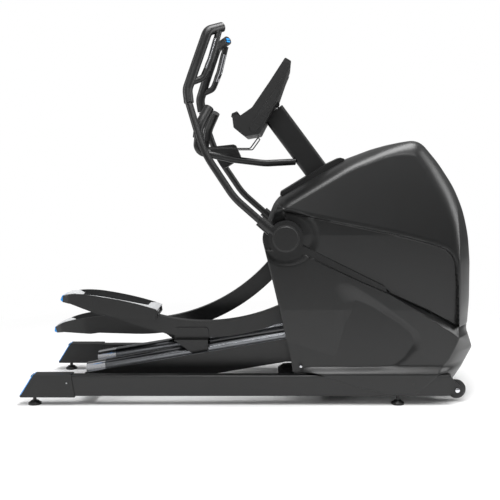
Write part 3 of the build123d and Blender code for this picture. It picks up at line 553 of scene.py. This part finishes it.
def pedal(name, move):
    """What the tray carries: a blue heel cap, pale heel and toe treads, and the mat's ribs."""
    def across(part, outline, half, slot_name, bevel):
        prism(f"{part}_{name}", outline, ARM_Y - half, ARM_Y + half, slot_name, name + "_arm", bevel, move)

    across("heel_cap", HEEL_CAP, HEEL_CAP_HALF, "blue_accent", 0.004)
    across("heel_tread", HEEL_TREAD, HEEL_TREAD_HALF, "mat_rubber", 0.002)
    across("toe_tread", TOE_TREAD, TOE_TREAD_HALF, "mat_rubber", 0.002)
    for i in range(RIBS):
        x = RIB_START + RIB_PITCH * i
        z = 0.4870 - (x + 0.9) * MAT_SLOPE
        rib = [(x, z - 0.012), (x + 0.001, z - 0.0085), (x + 0.009, z - 0.0099), (x + 0.010, z - 0.0138)]
        across(f"mat_rib_{i:02d}", rib, RIB_HALF, "mat_rubber", 0.0008)


pedal("right", tuple)
pedal("left", on_left_arm)


# ---------------------------------------------------------------- trim on each side
RAIL_Y, CAP_STRIP_HALF = 0.325, 0.030
CAP_STRIP = [(-1.0835, 0.0500), (-1.0880, 0.0500), (-1.0265, 0.1465), (-1.0225, 0.1465)]

# Screw heads: place (x, distance from the middle, z), profile and slot.
SCREWS = {
    "cap_screw": ((-0.867, 0.354, 0.108), [(0, 0.0035), (0.002, 0.0035), (0.003, 0.002)], "bare_steel"),
    "cover_screw": ((0.231, 0.3335, 0.183), [(0, 0.006), (0.003, 0.006), (0.005, 0.003)], "cap_metal"),
    "low_screw": ((0.759, 0.352, 0.101), [(0, 0.006), (0.002, 0.006), (0.003, 0.003)], "wheel_rubber"),
    "wheel_bolt": ((0.977, 0.3012, 0.058), [(0, 0.011), (0.004, 0.011), (0.006, 0.007)], "cap_metal"),
}
HUB_RING_Y = 0.3925
HUB_RING = [(0, 0.060), (0.001, 0.0625), (0.003, 0.0625), (0.004, 0.060)]

# The pulse plates lie on the loop tube of each swinging handle: (x, distance from the middle, z) up the tube.
LOOP = [(-0.2035, 0.2560, 1.562), (-0.197, 0.2532, 1.582), (-0.1865, 0.2500, 1.606),
        (-0.177, 0.2443, 1.640), (-0.168, 0.2387, 1.674), (-0.1605, 0.2343, 1.700)]
PLATE_INNER, PLATE_OUTER = 0.0140, 0.0158
REAR_ARC, FRONT_ARC = 2.1, 2.0

CONSOLE_BACK = [(0.183, 1.588), (0.143, 1.527), (0.083, 1.440), (0.020, 1.352), (-0.012, 1.300),
                (-0.006, 1.282), (0.018, 1.279), (0.052, 1.318), (0.104, 1.410), (0.143, 1.492)]
CONSOLE_LIP = [(-0.098, 1.350), (-0.094, 1.366), (-0.070, 1.376), (-0.064, 1.370), (-0.078, 1.358),
               (-0.084, 1.342)]
CONSOLE_LUG = [(0.105, 1.432), (0.126, 1.436), (0.131, 1.424), (0.124, 1.408), (0.100, 1.410)]
VENTS, VENT_X, VENT_Z, VENT_RUN, VENT_RISE = 9, 0.012, 1.313, 0.0075, 0.0118


def side_trim(name, side):
    prism("cap_strip_" + name, CAP_STRIP, side * RAIL_Y - CAP_STRIP_HALF, side * RAIL_Y + CAP_STRIP_HALF,
          "blue_accent", bevel=0.0008)
    outward = (0, side, 0)
    for screw, ((x, y, z), profile, slot_name) in SCREWS.items():
        lathe(f"{screw}_{name}", profile, (x, side * y, z), outward, slot_name)
    lathe("hub_ring_" + name, HUB_RING, (HUB[0], side * HUB_RING_Y, HUB[1]), outward, "wheel_rubber",
          name + "_handle", around=72)
    loop = [(x, side * y, z) for x, y, z in LOOP]
    sleeve("pulse_plate_rear_" + name, loop, PLATE_INNER, PLATE_OUTER, REAR_ARC, (-1, side * 0.5, 0.2),
           "cap_metal", name + "_handle")
    sleeve("pulse_plate_front_" + name, loop, PLATE_INNER, PLATE_OUTER, FRONT_ARC, (1, -side * 0.9, -0.2),
           "cap_metal", name + "_handle")
    side_prism("console_back_" + name, CONSOLE_BACK, side, 0.205, 0.2125, "console_plastic", 0.002)
    for i in range(VENTS):
        x, z = VENT_X + VENT_RUN * i, VENT_Z + VENT_RISE * i
        slit = [(x, z), (x + 0.018, z - 0.010), (x + 0.0195, z - 0.0065), (x + 0.0015, z + 0.0035)]
        side_prism(f"vent_{i}_{name}", slit, side, 0.2115, 0.2138, "wheel_rubber", 0.0005)


for side_name, side in SIDES.items():
    side_trim(side_name, side)
prism("console_lip", CONSOLE_LIP, -0.2, 0.2, "trim_plastic", bevel=0.002)
prism("console_lug", CONSOLE_LUG, -0.045, 0.045, "trim_plastic", bevel=0.003)


# ---------------------------------------------------------------- light and floor
def area_light(name, place, target, size, power):
    data = bpy.data.lights.new(name, "AREA")
    data.shape = "RECTANGLE"
    data.size, data.size_y = size
    data.energy = power
    lamp = bpy.data.objects.new(name, data)
    lamp.location = place
    lamp.rotation_euler = (Vector(target) - Vector(place)).to_track_quat("-Z", "Y").to_euler()
    bpy.context.scene.collection.objects.link(lamp)


ROOM_STRENGTH = 0.50
ROOM_DARK_UP_TO, ROOM_WHITE_FROM = 0.42, 0.86
FLOOR_FADE_FROM, FLOOR_FADE_TO = 1.25, 2.6


def make_world():
    """Plain white to the eye, and a soft top-lit room to the surfaces."""
    world = bpy.data.worlds.new("studio")
    world.use_nodes = True
    tree = world.node_tree
    tree.nodes.clear()
    out = tree.nodes.new("ShaderNodeOutputWorld")
    seen, room = tree.nodes.new("ShaderNodeBackground"), tree.nodes.new("ShaderNodeBackground")
    seen.inputs["Color"].default_value = (1, 1, 1, 1)
    seen.inputs["Strength"].default_value = 1.0
    coords, split = tree.nodes.new("ShaderNodeTexCoord"), tree.nodes.new("ShaderNodeSeparateXYZ")
    tree.links.new(coords.outputs["Generated"], split.inputs["Vector"])
    height = tree.nodes.new("ShaderNodeValToRGB")
    stops = height.color_ramp.elements
    stops[0].position, stops[0].color = ROOM_DARK_UP_TO, (0.10, 0.10, 0.10, 1)
    stops[1].position, stops[1].color = ROOM_WHITE_FROM, (1, 1, 1, 1)
    shift = tree.nodes.new("ShaderNodeMapRange")
    shift.inputs["From Min"].default_value = -1
    tree.links.new(split.outputs["Z"], shift.inputs["Value"])
    tree.links.new(shift.outputs["Result"], height.inputs["Fac"])
    tree.links.new(height.outputs["Color"], room.inputs["Color"])
    room.inputs["Strength"].default_value = ROOM_STRENGTH
    path, mix = tree.nodes.new("ShaderNodeLightPath"), tree.nodes.new("ShaderNodeMixShader")
    tree.links.new(path.outputs["Is Camera Ray"], mix.inputs["Fac"])
    tree.links.new(room.outputs["Background"], mix.inputs[1])
    tree.links.new(seen.outputs["Background"], mix.inputs[2])
    tree.links.new(mix.outputs["Shader"], out.inputs["Surface"])
    bpy.context.scene.world = world


def make_floor():
    """A pale floor disc that fades to the white of the background away from the machine."""
    bpy.ops.mesh.primitive_circle_add(vertices=96, radius=9, fill_type="NGON", location=(0, 0, 0))
    floor = bpy.context.object
    floor.name = "floor"
    g = Graph("pale_floor")
    g.bsdf.inputs["Roughness"].default_value = 0.7
    g.bsdf.inputs["Specular IOR Level"].default_value = 0.2
    tint = g.ramp(g.noise(1.5), "Fac", [(0.3, (0.93, 0.93, 0.93)), (0.7, (0.95, 0.95, 0.95))])
    g.link(tint, "Color", g.bsdf, "Base Color")
    glow = g.add("ShaderNodeEmission")
    distance = g.add("ShaderNodeVectorMath", operation="LENGTH")
    g.link(g.coords(), "Object", distance, "Vector")
    fade = g.add("ShaderNodeMapRange")
    fade.inputs["From Min"].default_value = FLOOR_FADE_FROM
    fade.inputs["From Max"].default_value = FLOOR_FADE_TO
    g.link(distance, "Value", fade, "Value")
    seen = g.add("ShaderNodeMath", operation="MULTIPLY")
    g.link(fade, "Result", seen, 0)
    g.link(g.add("ShaderNodeLightPath"), "Is Camera Ray", seen, 1)
    mix = g.add("ShaderNodeMixShader")
    g.link(seen, "Value", mix, "Fac")
    g.link(g.bsdf, "BSDF", mix, 1)
    g.link(glow, "Emission", mix, 2)
    g.link(mix, "Shader", g.out, "Surface")
    floor.data.materials.append(g.material)


make_world()
make_floor()
area_light("key_top", (0.6, -0.4, 4.2), (0.2, 0, 0.6), (3.0, 1.6), 150)
area_light("shoulder_strip", (0.4, -2.2, 3.4), (0.4, -0.1, 1.1), (3.4, 0.25), 30)
area_light("front_soft", (-0.8, -5.2, 3.0), (0.1, 0, 0.7), (3.0, 1.6), 22)
area_light("side_left", (-3.6, -0.8, 2.0), (0.0, 0, 0.8), (1.0, 2.4), 40)
area_light("front_rim", (3.4, -0.4, 1.9), (0.8, 0, 0.8), (1.0, 2.4), 45)
bpy.context.scene.view_settings.view_transform = "Standard"
